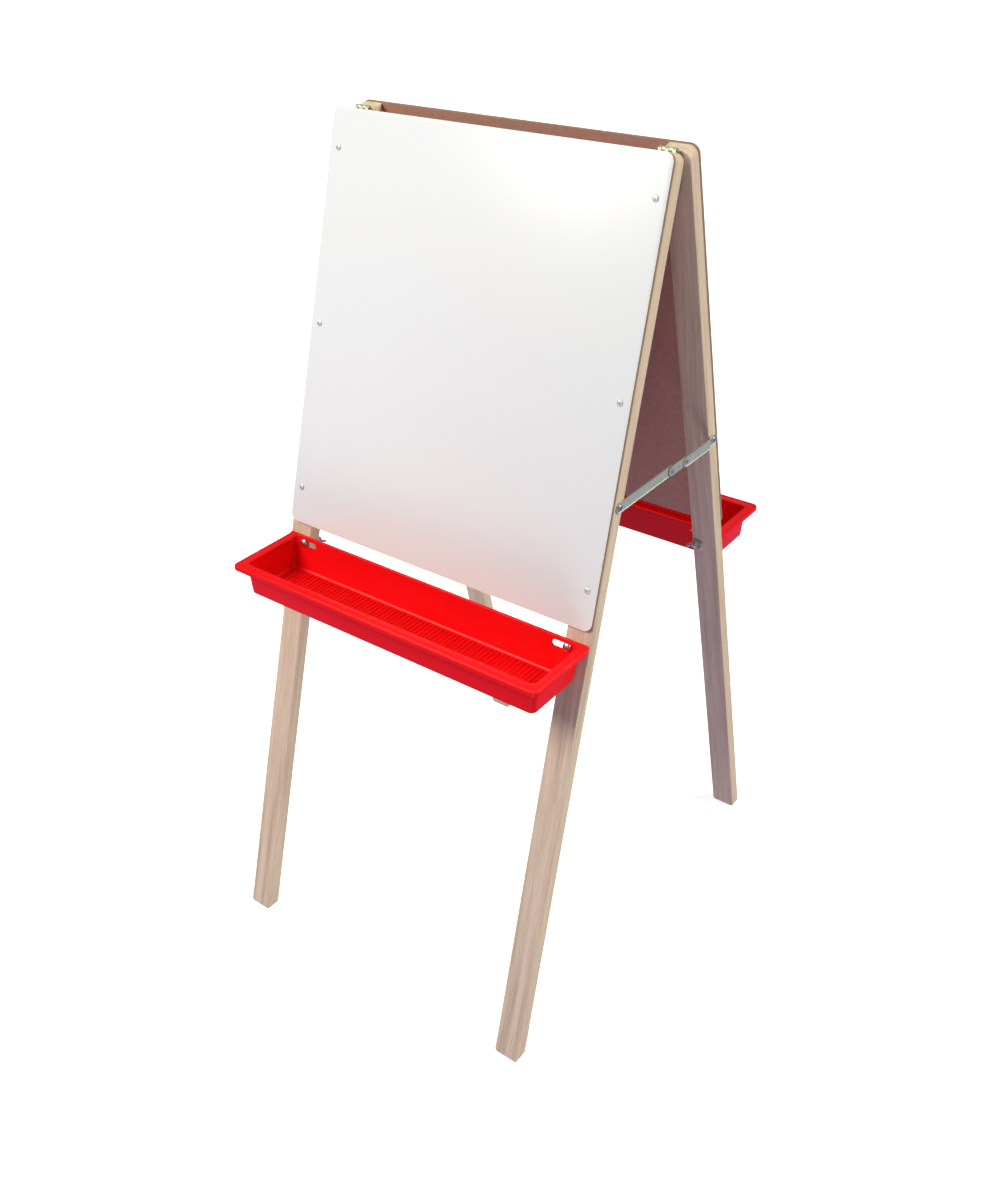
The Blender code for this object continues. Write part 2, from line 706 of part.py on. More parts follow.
def make_rear_arm(frame, side, steel):
    """Rear arm of a brace with the plate, knee rivet and plate rivet that turn with it."""
    brace = f"{frame.side(side)}_brace"
    knee = pivot_reach() - KNEE_OFFSET
    length = knee - PLATE_LENGTH
    rivet_hole = RIVET_RADIUS + GAP
    no_turn = (0, 0, 0)
    across = (0, side * math.pi / 2, 0)
    plate_x = BAR_LAYER
    arm_x = plate_x + PLATE_THICKNESS + GAP
    arm_face = arm_x + BAR_WEB + GAP
    pivot = brace_pivot_place(side)
    bar = bar_bm(side, length, BAR_WIDTH, BAR_WEB, BAR_RIM)
    jog(bar, side, arm_x)
    arm = new_object(f"{brace}_rear_arm", bar, frame.empty, pivot, (LEAN, 0, 0), steel, True)
    cut_bar_holes(arm, side, ((0.0, BRACE_HOLE_RADIUS), (length, rivet_hole)))
    strip = bar_bm(side, PLATE_LENGTH, PLATE_WIDTH, PLATE_THICKNESS, 0.0)
    plate = new_object(f"{brace}_joint_plate", strip, arm, (side * plate_x, length, 0), no_turn, steel, True)
    spare_hole = (PLATE_HOLE_AT, PLATE_HOLE_RADIUS)
    cut_bar_holes(plate, side, ((0.0, rivet_hole), spare_hole, (PLATE_LENGTH, rivet_hole)))
    knee_rivet = rivet_bm(PLATE_THICKNESS + GAP)
    plate_rivet = rivet_bm(arm_face - plate_x)
    new_object(f"{brace}_knee_rivet", knee_rivet, arm, (side * arm_x, knee, 0), across, steel, True)
    new_object(f"{brace}_plate_rivet", plate_rivet, arm, (side * arm_face, length, 0), across, steel, True)
    make_brace_screw(frame, side, f"{brace}_rear_screw", steel)


def make_frame(frame, wood, panel, plastic, zinc, bright):
    make_legs(frame, wood)
    make_board(frame, panel)
    make_board_screws(frame, zinc)
    make_tray(frame, plastic)
    make_tray_fasteners(frame, bright)
    for side in SIDES:
        make_leaf(frame, side, zinc)
        make_hinge_screws(frame, side, zinc)


def main():
    clear_scene()
    wood = new_material("light_hardwood", (0.72, 0.50, 0.34), 0.6)
    panel = new_material("white_panel", (0.90, 0.87, 0.84), 0.25)
    plastic = new_material("red_plastic", (0.78, 0.01, 0.015), 0.35)
    zinc = new_material("zinc_plated_steel", (0.50, 0.54, 0.50), 0.35, 1.0)
    bright = new_material("bright_steel", (0.72, 0.70, 0.68), 0.2, 1.0)
    front = Frame("front", 1)
    rear = Frame("rear", -1)
    for frame in (front, rear):
        make_frame(frame, wood, panel, plastic, zinc, bright)
    for side in SIDES:
        make_hinge_pin(front, side, zinc)
        make_front_arm(front, side, zinc)
        make_rear_arm(rear, side, zinc)


main()
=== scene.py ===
import json
import math

import bmesh
import bpy
from mathutils import Matrix, Vector


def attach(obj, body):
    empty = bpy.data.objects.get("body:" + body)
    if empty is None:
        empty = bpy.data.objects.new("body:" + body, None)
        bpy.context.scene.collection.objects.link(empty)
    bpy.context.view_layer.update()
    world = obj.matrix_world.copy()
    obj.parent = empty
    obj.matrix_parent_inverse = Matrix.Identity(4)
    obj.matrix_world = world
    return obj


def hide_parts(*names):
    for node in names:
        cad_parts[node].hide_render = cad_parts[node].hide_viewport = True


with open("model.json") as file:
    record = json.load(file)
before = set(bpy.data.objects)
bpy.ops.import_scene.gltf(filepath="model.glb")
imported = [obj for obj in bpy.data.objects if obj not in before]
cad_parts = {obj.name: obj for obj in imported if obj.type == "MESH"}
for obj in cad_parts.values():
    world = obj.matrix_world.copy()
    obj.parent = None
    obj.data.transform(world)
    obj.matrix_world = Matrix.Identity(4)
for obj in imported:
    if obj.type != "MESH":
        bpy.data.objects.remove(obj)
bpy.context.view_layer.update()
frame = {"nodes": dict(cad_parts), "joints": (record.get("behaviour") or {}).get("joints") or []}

# The leaning frames, in metres. A frame's own space has the hinge pin as its origin, +Z up the legs
# and -Y outwards.
LEAN = math.radians(14.67)
PIN = Vector(next(joint for joint in frame["joints"] if joint["name"] == "frame_fold")["pos_m"])
FRAMES = {"front": 0.0, "rear": math.pi}
FRAME_WIDTH = 0.531
GAP = 0.0003
LEG_WIDTH = 0.0381
LEG_THICKNESS = 0.0205
LEG_SETBACK = 0.0045
LEG_TOP = -0.0026
LEG_X = (FRAME_WIDTH - LEG_WIDTH) / 2
LEG_Y = -LEG_SETBACK - LEG_THICKNESS / 2
LEG_FACE = -LEG_SETBACK - LEG_THICKNESS
TOP_CORNER = 0.012
FOOT_CORNER = 0.0042
LEG_EDGE = 0.0012
BOARD_WIDTH = 0.5305
BOARD_HEIGHT = 0.5985
BOARD_THICKNESS = 0.0048
BOARD_BACK = LEG_FACE - GAP
BOARD_FACE = BOARD_BACK - BOARD_THICKNESS
BOARD_EDGE = 0.0005
SCREW_X = 0.250
SCREW_INSET = 0.054
SCREW_LEVELS = {
    "top": LEG_TOP - SCREW_INSET,
    "middle": LEG_TOP - BOARD_HEIGHT / 2,
    "bottom": LEG_TOP - BOARD_HEIGHT + SCREW_INSET,
}
LEAF_X = 0.2396
LEAF_THICKNESS = 0.0018
LEAF_BACK = -LEG_SETBACK + GAP
HINGE_SCREWS = {"upper": (-0.0160, -0.0055), "lower": (-0.0420, 0.0055)}
BOLT_LEVEL = -0.6310
BOLT_X = 0.2347
BOLT_RADIUS = 0.0030
BOLT_HEAD_RADIUS = 0.0064
BOLT_HEAD_HEIGHT = 0.0034
BOLT_END = 0.0012
BOLT_THREADED = 0.013
BOLT_ROOT = 0.84
THREAD_PITCH = 0.0008
PIVOT_LEVEL = -0.4340
BAR_WEB = 0.0012

# Trays, in upright spaces whose origin is on the bolt line at the back of the tray
TRAY_WALL = 0.0028
TRAY_BOTTOM = -0.0420
TRAY_RIM = 0.0078
TRAY_BACK_RISE = 0.0030
LIP_DROP = 0.0065
LIP_THICKNESS = 0.0020
RIM_HALF_WIDTH = 0.2658
RIM_FRONT = -0.1198
BODY_HALF_WIDTH = 0.2540
BODY_FRONT = -0.1060
BODY_DRAFT = 0.0030
BODY_RECESS = 0.0010
RIM_CORNER = 0.0090
BODY_CORNER = 0.0095
REAR_CORNER = 0.0040
INNER_REAR_CORNER = 0.0060
SMALLEST_CORNER = 0.0010
CORNER_STEPS = 8
FLOOR_FILLET = 0.0045
RIM_ROUND = 0.0012
SLOT_LENGTH = 0.0320
SLOT_HEIGHT = 0.0090
SLOT_CENTRE_X = 0.2265
SLOT_CUT = (-0.008, 0.004)
RIB_PITCH = 0.0069
RIB_WIDTHS = (0.0018, 0.0014)
RIB_HEIGHTS = (0.0016, 0.0012)
RIB_SUNK = 0.0010
RIB_MARGIN = 0.014
FLANGE_SECTION = ((0.10, 0.0), (0.17, 0.0006), (0.30, 0.0006), (0.38, 0.0))

# Screws; the root, neck and tip are shares of the shank's own radius
SCREW_PITCH = 0.0011
SCREW_RISE = 0.0003
SCREW_ROOT = 0.80
SCREW_NECK = 0.85
SCREW_TIP = 0.15
SCREW_NECK_LENGTH = 0.0004
SCREW_TWIST = math.radians(37)
BRACE_SCREW_TWIST = 0.6

# Wing nuts
WASHER_THICKNESS = 0.0012
NUT_HEIGHT = 0.0080
NUT_BASE_RADIUS = 0.0058
NUT_TOP_RADIUS = 0.0046
NUT_CHAMFER = 0.0005
WING_SPAN = 0.0125
WING_HEIGHT = 0.0115
WING_THICKNESS = 0.0022
WING_TIP_RADIUS = 0.0030
WING_EDGE = 0.0007
BORE_CLEARANCE = 0.0004
BORE_THREAD_CLEARANCE = 0.00015
BORE_OVERRUN = 0.002

SIDES = {"left": -1, "right": 1}
ROUND = 40


def frame_space(name):
    return Matrix.Translation(PIN) @ Matrix.Rotation(FRAMES[name], 4, "Z") @ Matrix.Rotation(-LEAN, 4, "X")


def local_side(frame_name, side):
    """Sign of local X, in a frame's own space, on the easel's left or right."""
    return SIDES[side] if frame_name == "front" else -SIDES[side]


def back_plane(z):
    return z * math.tan(LEAN)


# ---------------------------------------------------------------- geometry


def add_ring(bm, points):
    return [bm.verts.new(point) for point in points]


def bridge(bm, ring, other, material=0):
    for i in range(len(ring)):
        j = (i + 1) % len(ring)
        bm.faces.new((ring[i], ring[j], other[j], other[i])).material_index = material


def loft(bm, rings):
    """Closed skin through a row of point rings, capped at both ends."""
    loops = [add_ring(bm, ring) for ring in rings]
    for ring, other in zip(loops, loops[1:]):
        bridge(bm, ring, other)
    bm.faces.new(loops[0])
    bm.faces.new(loops[-1])


def arc(centre, radius, start, end, steps):
    points = []
    for i in range(steps + 1):
        angle = math.radians(start + (end - start) * i / steps)
        points.append((centre[0] + radius * math.cos(angle), centre[1] + radius * math.sin(angle)))
    return points


def rounded_outline(left, right, low, high, low_radius, high_radius, steps):
    outline = arc((left + low_radius, low + low_radius), low_radius, 180, 270, steps)
    outline += arc((right - low_radius, low + low_radius), low_radius, 270, 360, steps)
    outline += arc((right - high_radius, high - high_radius), high_radius, 0, 90, steps)
    outline += arc((left + high_radius, high - high_radius), high_radius, 90, 180, steps)
    return outline


def turned(profile, steps=ROUND):
    """Solid turned about local Z from (radius, height) pairs; a radius of 0 closes it in a point."""
    bm = bmesh.new()
    rings = []
    for radius, height in profile:
        turns = [2 * math.pi * i / steps for i in range(steps)]
        rings.append([(radius * math.cos(a), radius * math.sin(a), height) for a in turns])
    loft(bm, rings)
    return bm


def smooth(mesh, angle=35):
    """Shades a mesh smooth, with its edges above the angle in degrees kept sharp."""
    mesh.shade_smooth()
    mesh.set_sharp_from_angle(angle=math.radians(angle))


def finish_mesh(name, bm, materials, smooth_angle=35):
    bmesh.ops.recalc_face_normals(bm, faces=bm.faces[:])
    mesh = bpy.data.meshes.new(name)
    bm.to_mesh(mesh)
    bm.free()
    for material in materials:
        mesh.materials.append(material)
    smooth(mesh, smooth_angle)
    return mesh


def place(name, mesh, matrix):
    piece = bpy.data.objects.new(name, mesh)
    bpy.context.scene.collection.objects.link(piece)
    piece.matrix_world = matrix
    return piece


def settle(piece, body, node):
    """Rides a finished piece on its body, in place of its CAD node, which it hides."""
    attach(piece, body)
    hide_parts(node)


def apply_booleans(piece, tools, operation):
    """Joins or cuts with each tool in turn, then keeps only the result."""
    for tool in tools:
        modifier = piece.modifiers.new(tool.name, "BOOLEAN")
        modifier.operation = operation
        modifier.solver = "EXACT"
        modifier.object = tool
    bake_modifiers(piece)
    for tool in tools:
        bpy.data.objects.remove(tool, do_unlink=True)


def bake_modifiers(piece):
    """Makes the mesh that a piece's modifiers give its own."""
    bpy.context.view_layer.update()
    evaluated = piece.evaluated_get(bpy.context.evaluated_depsgraph_get())
    mesh = bpy.data.meshes.new_from_object(evaluated)
    piece.modifiers.clear()
    piece.data = mesh


def mesh_only(piece, name, angle=35):
    """Smooths a finished mesh and drops the object that it was built on."""
    mesh = piece.data
    mesh.name = name
    smooth(mesh, angle)
    bpy.data.objects.remove(piece, do_unlink=True)
    return mesh


# ---------------------------------------------------------------- materials


class Shader:
    """A material's node tree, with short calls for the nodes that the materials here use."""

    def __init__(self, name):
        self.material = bpy.data.materials.new(name)
        self.material.use_nodes = True
        self.tree = self.material.node_tree
        self.principled = self.tree.nodes["Principled BSDF"]
        self.position = self.tree.nodes.new("ShaderNodeTexCoord").outputs["Object"]

    def put(self, socket, value):
        if isinstance(value, bpy.types.NodeSocket):
            self.tree.links.new(value, socket)
        elif isinstance(value, tuple) and len(value) == 3 and socket.type == "RGBA":
            socket.default_value = (*value, 1.0)
        else:
            socket.default_value = value

    def node(self, kind, **inputs):
        node = self.tree.nodes.new(kind)
        for name, value in inputs.items():
            self.put(node.inputs[name.replace("_", " ")], value)
        return node

    def mapped(self, rotation=(0, 0, 0), scale=(1, 1, 1), location=(0, 0, 0), source=None):
        vector = source or self.position
        node = self.node("ShaderNodeMapping", Vector=vector, Rotation=rotation, Scale=scale,
                         Location=location)
        return node.outputs[0]

    def noise(self, vector, scale, detail, roughness=0.5):
        node = self.node("ShaderNodeTexNoise", Vector=vector, Scale=scale, Detail=detail, Roughness=roughness)
        return node.outputs["Fac"]

    def ramp(self, value, stops):
        """Colour ramp from (place, grey level or colour) stops."""
        node = self.tree.nodes.new("ShaderNodeValToRGB")
        self.put(node.inputs[0], value)
        elements = node.color_ramp.elements
        while len(elements) < len(stops):
            elements.new(0.5)
        for element, (place_at, colour) in zip(elements, stops):
            element.position = place_at
            element.color = (*colour, 1.0) if isinstance(colour, tuple) else (colour, colour, colour, 1.0)
        return node.outputs[0]

    def mix(self, factor, first, second, blend="MIX"):
        """Colour mix; sockets 6 and 7 are the node's two colours and output 2 its result."""
        node = self.tree.nodes.new("ShaderNodeMix")
        node.data_type = "RGBA"
        node.blend_type = blend
        self.put(node.inputs[0], factor)
        self.put(node.inputs[6], first)
        self.put(node.inputs[7], second)
        return node.outputs[2]

    def math(self, operation, first, second):
        node = self.tree.nodes.new("ShaderNodeMath")
        node.operation = operation
        self.put(node.inputs[0], first)
        self.put(node.inputs[1], second)
        return node.outputs[0]

    def spread(self, value, low, high):
        """Maps 0..1 to low..high."""
        node = self.tree.nodes.new("ShaderNodeMapRange")
        self.put(node.inputs["Value"], value)
        node.inputs["To Min"].default_value = low
        node.inputs["To Max"].default_value = high
        return node.outputs[0]

    def bump(self, height, strength, distance):
        return self.node("ShaderNodeBump", Height=height, Strength=strength, Distance=distance).outputs[0]

    def surface(self, **values):
        """Sets the shader's own sockets, named with _ for each space, and gives back the material."""
        for name, value in values.items():
            self.put(self.principled.inputs[name.replace("_", " ")], value)
        return self.material


def wood_material(frame_name, seed):
    """Light close-grained hardwood, its grain running up one leg."""
    shader = Shader(f"hardwood_{seed}")
    tilt = -LEAN if frame_name == "rear" else LEAN
    along = shader.mapped(rotation=(tilt, 0, 0), location=(seed * 0.37, seed * 0.21, seed * 1.7))
    warp = shader.noise(shader.mapped(source=along, scale=(9, 9, 1.4)), 1.0, 2.0)
    bent = shader.node("ShaderNodeVectorMath")
    bent.operation = "MULTIPLY_ADD"
    offset = shader.node("ShaderNodeCombineXYZ", X=warp, Y=warp, Z=0.0)
    shader.put(bent.inputs[0], offset.outputs[0])
    bent.inputs[1].default_value = (0.030, 0.016, 0.0)
    shader.put(bent.inputs[2], along)
    grain = bent.outputs[0]
    bands = shader.noise(shader.mapped(source=grain, scale=(130, 130, 4.2)), 1.0, 4.0, 0.62)
    fibres = shader.noise(shader.mapped(source=grain, scale=(900, 900, 26)), 1.0, 3.0, 0.65)
    broad = shader.noise(shader.mapped(source=grain, scale=(28, 28, 1.1)), 1.0, 2.0)
    pores = shader.noise(shader.mapped(source=grain, scale=(1500, 1500, 60)), 1.0, 1.0)
    colour = shader.ramp(bands, [(0.30, WOOD_DARK), (0.50, WOOD_MIDDLE), (0.68, WOOD_LIGHT)])
    colour = shader.mix(shader.ramp(broad, [(0.38, 0.0), (0.66, 0.55)]), colour, WOOD_WARM)
    colour = shader.mix(shader.ramp(fibres, [(0.35, 0.32), (0.60, 0.0)]), colour, WOOD_LINE, "MULTIPLY")
    colour = shader.mix(shader.ramp(pores, [(0.28, 0.35), (0.36, 0.0)]), colour, WOOD_PORE)
    roughness = shader.spread(fibres, 0.48, 0.66)
    height = shader.math("ADD", shader.math("MULTIPLY", fibres, 0.6), shader.math("MULTIPLY", bands, 0.4))
    return shader.surface(Base_Color=colour, Roughness=roughness, Normal=shader.bump(height, 0.22, 0.0004),
                          Specular_IOR_Level=0.35)


def coat_material():
    """Glossy white writing face: almost even, with faint clouds left by wiping and a slight orange peel."""
    shader = Shader("white_writing_face")
    flat = shader.mapped()
    cloud = shader.noise(flat, 3.0, 2.0, 0.4)
    wipes = shader.noise(shader.mapped(scale=(5, 5, 22)), 1.0, 2.0, 0.4)
    specks = shader.noise(flat, 900.0, 1.0)
    peel = shader.noise(flat, 260.0, 2.0)
    colour = shader.mix(shader.ramp(cloud, [(0.25, 0.0), (0.75, 1.0)]), COAT_WARM, COAT_COOL)
    colour = shader.mix(shader.ramp(specks, [(0.20, 0.10), (0.28, 0.0)]), colour, COAT_SPECK)
    roughness = shader.spread(wipes, 0.26, 0.36)
    return shader.surface(Base_Color=colour, Roughness=roughness, Normal=shader.bump(peel, 0.06, 0.0002),
                          Specular_IOR_Level=0.4)


def hardboard_material(name, brown, tan, dark):
    """Pressed hardboard: a fine felted mottle from brown to tan, with dark fibres."""
    shader = Shader(name)
    mottle = shader.noise(shader.mapped(), 110.0, 4.0, 0.6)
    felt = shader.noise(shader.mapped(scale=(900, 420, 900)), 1.0, 4.0, 0.65)
    colour = shader.mix(shader.ramp(mottle, [(0.25, 0.0), (0.75, 1.0)]), brown, tan)
    colour = shader.mix(shader.ramp(felt, [(0.28, 0.45), (0.58, 0.0)]), colour, dark)
    roughness = shader.spread(felt, 0.62, 0.80)
    return shader.surface(Base_Color=colour, Roughness=roughness, Normal=shader.bump(felt, 0.30, 0.0004),
                          Specular_IOR_Level=0.25)


def plastic_material():
    """Moulded red plastic: slightly uneven gloss, faint flow marks and fine scuffs."""
    shader = Shader("red_moulded_plastic")
    flow = shader.noise(shader.mapped(scale=(6, 18, 18)), 1.0, 3.0, 0.5)
    peel = shader.noise(shader.mapped(), 520.0, 2.0, 0.5)
    scuff = shader.noise(shader.mapped(rotation=(0.2, 0.1, 0.7), scale=(30, 900, 300)), 1.0, 2.0, 0.6)
    colour = shader.mix(shader.ramp(flow, [(0.35, 0.0), (0.65, 1.0)]), RED_DEEP, RED_BRIGHT)
    colour = shader.mix(shader.ramp(scuff, [(0.68, 0.0), (0.80, 0.25)]), colour, RED_SCUFF)
    scuffed = shader.ramp(scuff, [(0.6, 0.0), (0.8, 0.12)])
    roughness = shader.math("ADD", shader.spread(flow, 0.30, 0.38), scuffed)
    height = shader.math("ADD", shader.math("MULTIPLY", peel, 0.7), shader.math("MULTIPLY", flow, 0.3))
    return shader.surface(Base_Color=colour, Roughness=roughness, Normal=shader.bump(height, 0.10, 0.0003),
                          Specular_IOR_Level=0.18)


def zinc_material():
    """Zinc-plated steel: faint spangle, a yellow-green cast and rolled streaks."""
    shader = Shader("zinc_plate")
    spangle = shader.tree.nodes.new("ShaderNodeTexVoronoi")
    shader.put(spangle.inputs["Vector"], shader.mapped())
    spangle.inputs["Scale"].default_value = 420.0
    cast = shader.noise(shader.mapped(), 60.0, 3.0, 0.6)
    streak = shader.noise(shader.mapped(scale=(1500, 90, 1500)), 1.0, 2.0, 0.6)
    colour = shader.mix(shader.ramp(cast, [(0.35, 0.0), (0.65, 1.0)]), ZINC_GREEN, ZINC_GREY)
    flakes = shader.ramp(spangle.outputs["Distance"], [(0.2, 0.0), (0.8, 0.25)])
    colour = shader.mix(flakes, colour, ZINC_PALE)
    roughness = shader.spread(streak, 0.40, 0.56)
    return shader.surface(Base_Color=colour, Metallic=0.7, Roughness=roughness,
                          Normal=shader.bump(streak, 0.12, 0.0002))


def bright_material(name, colour_low, colour_high, rough_low, rough_high, metallic):
    """Bright plated steel with small variations in its polish."""
    shader = Shader(name)
    haze = shader.noise(shader.mapped(), 300.0, 3.0, 0.6)
    marks = shader.noise(shader.mapped(scale=(2600, 500, 900)), 1.0, 2.0, 0.6)
    colour = shader.mix(shader.ramp(haze, [(0.35, 0.0), (0.65, 1.0)]), colour_low, colour_high)
    roughness = shader.spread(haze, rough_low, rough_high)
    return shader.surface(Base_Color=colour, Metallic=metallic, Roughness=roughness,
                          Normal=shader.bump(marks, 0.08, 0.0001))


WOOD_DARK = (0.520, 0.390, 0.260)
WOOD_MIDDLE = (0.690, 0.535, 0.380)
WOOD_LIGHT = (0.780, 0.630, 0.475)
WOOD_WARM = (0.720, 0.540, 0.365)
WOOD_LINE = (0.780, 0.700, 0.620)
WOOD_PORE = (0.330, 0.220, 0.140)
COAT_WARM = (0.840, 0.862, 0.800)
COAT_COOL = (0.850, 0.876, 0.822)
COAT_SPECK = (0.600, 0.570, 0.530)
BOARD_BROWN = (0.500, 0.250, 0.175)
BOARD_TAN = (0.590, 0.330, 0.240)
BOARD_DARK = (0.270, 0.125, 0.095)
EDGE_BROWN = (0.250, 0.155, 0.110)
EDGE_TAN = (0.340, 0.220, 0.150)
EDGE_DARK = (0.120, 0.070, 0.050)
RED_DEEP = (0.830, 0.002, 0.004)
RED_BRIGHT = (0.880, 0.004, 0.006)
RED_SCUFF = (0.860, 0.080, 0.070)
ZINC_GREEN = (0.520, 0.580, 0.420)
ZINC_GREY = (0.600, 0.630, 0.500)
ZINC_PALE = (0.680, 0.700, 0.580)

COAT = coat_material()
HARDBOARD = hardboard_material("brown_hardboard", BOARD_BROWN, BOARD_TAN, BOARD_DARK)
BOARD_SAWN = hardboard_material("sawn_hardboard", EDGE_BROWN, EDGE_TAN, EDGE_DARK)
PLASTIC = plastic_material()
ZINC = zinc_material()
NICKEL = bright_material("bright_nickel", (0.66, 0.64, 0.61), (0.78, 0.76, 0.73), 0.16, 0.28, 1.0)
STEEL = bright_material("dull_steel", (0.42, 0.42, 0.43), (0.56, 0.56, 0.56), 0.28, 0.42, 1.0)
SATIN = bright_material("satin_nickel", (0.72, 0.71, 0.69), (0.86, 0.85, 0.83), 0.30, 0.42, 0.45)


# ---------------------------------------------------------------- pieces


def foot_level(y):
    """Leaning z at which the leaning line at y meets the floor."""
    return (y * math.sin(LEAN) - PIN.z) / math.cos(LEAN)


def leg_mesh(name, side, material):
    """A leg on its own centre line: rounded outer top corner, foot cut level with the floor, eased edges."""
    half = LEG_WIDTH / 2
    crown = arc((half - TOP_CORNER, LEG_TOP - TOP_CORNER), TOP_CORNER, 0, 90, 12)
    rings = []
    for y in (-LEG_THICKNESS / 2, LEG_THICKNESS / 2):
        foot = foot_level(LEG_Y + y)
        outline = arc((-half + FOOT_CORNER, foot + FOOT_CORNER), FOOT_CORNER, 180, 270, 4)
        outline += arc((half - FOOT_CORNER, foot + FOOT_CORNER), FOOT_CORNER, 270, 360, 4)
        outline += crown + [(-half, LEG_TOP)]
        rings.append([(side * x, y, z) for x, z in outline])
    bm = bmesh.new()
    loft(bm, rings)
    bmesh.ops.recalc_face_normals(bm, faces=bm.faces[:])
    sharp = [edge for edge in bm.edges if edge.calc_face_angle() > math.radians(40)]
    bmesh.ops.bevel(bm, geom=sharp, offset=LEG_EDGE, segments=3, profile=0.5, affect="EDGES")
    return finish_mesh(name, bm, [material], 30)


def make_legs():
    for seed, (frame_name, side) in enumerate(((f, s) for f in FRAMES for s in SIDES), 1):
        local = local_side(frame_name, side)
        node = f"{frame_name}_{side}_leg"
        mesh = leg_mesh(f"{node}_wood", local, wood_material(frame_name, seed))
        mesh.transform(frame_space(frame_name) @ Matrix.Translation((local * LEG_X, LEG_Y, 0)))
        leg = place(f"{node}_wood", mesh, Matrix.Identity(4))
        settle(leg, f"{frame_name}_frame", node)


def board_mesh():
    """Panel with its back at y = 0: white face and eased front edge, dark sawn sides, brown back."""
    half = BOARD_WIDTH / 2
    bottom = LEG_TOP - BOARD_HEIGHT
    section = [
        (BOARD_EDGE, -BOARD_THICKNESS),
        (BOARD_EDGE * 0.3, -BOARD_THICKNESS + BOARD_EDGE * 0.3),
        (0.0, -BOARD_THICKNESS + BOARD_EDGE),
        (0.0, -BOARD_EDGE / 2),
        (BOARD_EDGE / 2, 0.0),
    ]
    bm = bmesh.new()
    rings = []
    for inset, y in section:
        side = half - inset
        corner = TOP_CORNER - inset
        outline = rounded_outline(-side, side, bottom + inset, LEG_TOP - inset, corner, corner, 14)
        rings.append(add_ring(bm, [(x, y, z) for x, z in outline]))
    face, back, sides = 0, 1, 2
    bridge(bm, rings[0], rings[1], face)
    for ring, other in zip(rings[1:], rings[2:]):
        bridge(bm, ring, other, sides)
    bm.faces.new(rings[0]).material_index = face
    bm.faces.new(rings[-1]).material_index = back
    return finish_mesh("board_panel", bm, [COAT, HARDBOARD, BOARD_SAWN], 30)


def make_boards():
    mesh = board_mesh()
    for frame_name in FRAMES:
        node = f"{frame_name}_board"
        board = place(f"{node}_panel", mesh, frame_space(frame_name) @ Matrix.Translation((0, BOARD_BACK, 0)))
        settle(board, f"{frame_name}_frame", node)


def screw_profile(head, height, shank, length):
    """Outline of a domed screw, from its tip up its thread to the top of its head."""
    profile = [(shank * SCREW_TIP, -length), (shank * SCREW_ROOT, -length + 2.2 * shank)]
    for turn in range(int((length - 3.2 * shank) / SCREW_PITCH)):
        level = -length + 2.4 * shank + turn * SCREW_PITCH
        profile.append((shank * SCREW_ROOT, level))
        profile.append((shank, level + SCREW_RISE))
        profile.append((shank * SCREW_ROOT, level + 2 * SCREW_RISE))
    profile += [(shank * SCREW_NECK, -SCREW_NECK_LENGTH), (shank * SCREW_NECK, 0.0)]
    profile += [(head * 0.96, 0.0), (head, height * 0.10)]
    for turn in range(0, 90, 12):
        angle = math.radians(turn)
        profile.append((head * math.cos(angle), height * (0.25 + 0.75 * math.sin(angle))))
    profile.append((head * 0.04, height))
    return profile


def rectangle(half_x, half_y, z):
    return [(-half_x, -half_y, z), (half_x, -half_y, z), (half_x, half_y, z), (-half_x, half_y, z)]


def screw_mesh(name, head, height, shank, length, material):
    """Domed screw with a cross recess: its head sits on z = 0 and its tapered, threaded shank runs down."""
    bm = turned(screw_profile(head, height, shank, length), 32)
    piece = place(name, finish_mesh(name, bm, [material], 40), Matrix.Identity(4))
    arm_length = head * 0.56
    arm_width = head * 0.085
    bottom = rectangle(arm_length * 0.45, arm_width * 0.6, height * 0.05)
    top = rectangle(arm_length, arm_width, height * 1.2)
    tools = []
    for turn in (0, 1):
        cut = bmesh.new()
        loft(cut, [bottom, top])
        mesh = finish_mesh(f"{name}_cut_{turn}", cut, [material])
        tools.append(place(mesh.name, mesh, Matrix.Rotation(turn * math.pi / 2, 4, "Z")))
    apply_booleans(piece, tools, "DIFFERENCE")
    return mesh_only(piece, name)


